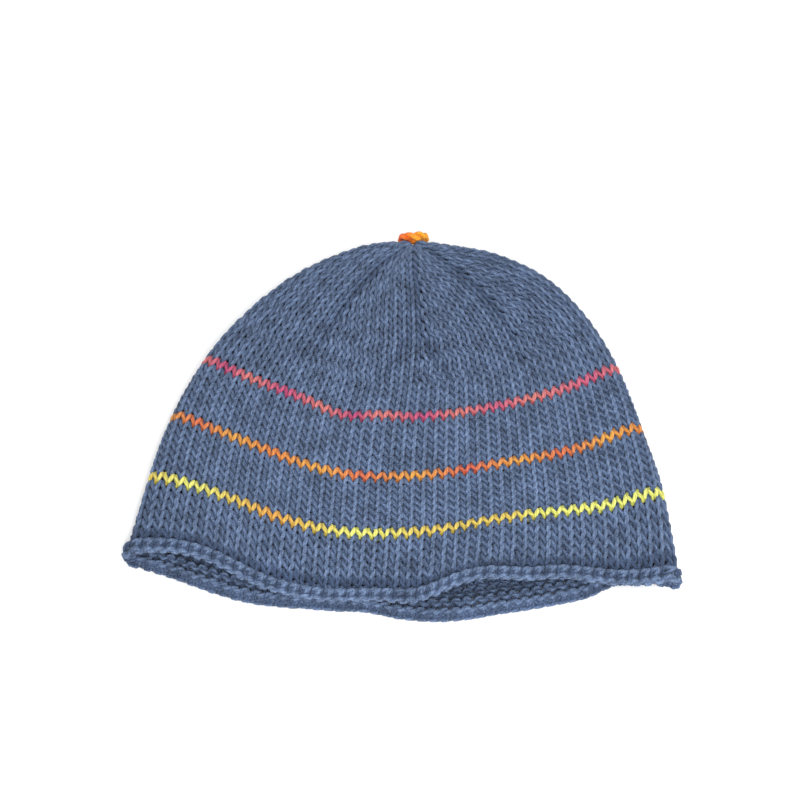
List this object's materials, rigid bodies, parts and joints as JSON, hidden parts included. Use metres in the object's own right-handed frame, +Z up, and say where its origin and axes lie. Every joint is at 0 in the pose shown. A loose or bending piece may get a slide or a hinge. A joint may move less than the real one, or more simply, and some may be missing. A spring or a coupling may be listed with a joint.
{
  "type": "hand-knitted chemo cap with a rolled brim, lying flat",
  "caption": "Soft knitted cap lying on its back layer, with a rolled brim, three thin coloured stripes, a gathered crown and a small knot at its tip; open and hollow for the head.",
  "frame": {"origin": "on the resting surface, under the middle of the lying cap", "axes": "+X to the right across the cap, +Y from the brim to the tip of the crown, +Z up from the surface on which the back layer lies"},
  "size_m": [0.2446, 0.2055, 0.0229],
  "materials": {
    "blue_grey_yarn": "matt knitted yarn, dusty blue-grey",
    "yellow_yarn": "matt knitted yarn, lemon yellow running into orange",
    "orange_yarn": "matt knitted yarn, orange running into red-orange",
    "pink_yarn": "matt knitted yarn, raspberry pink running into coral",
    "knot_yarn": "matt yarn knot, orange"
  },
  "bodies": {
    "root": {"rolled_brim": "blue_grey_yarn", "lower_band": "blue_grey_yarn", "yellow_stripe": "yellow_yarn", "middle_band": "blue_grey_yarn", "orange_stripe": "orange_yarn", "upper_band": "blue_grey_yarn", "pink_stripe": "pink_yarn", "crown": "blue_grey_yarn", "top_knot": "knot_yarn"}
  },
  "joints": []
}
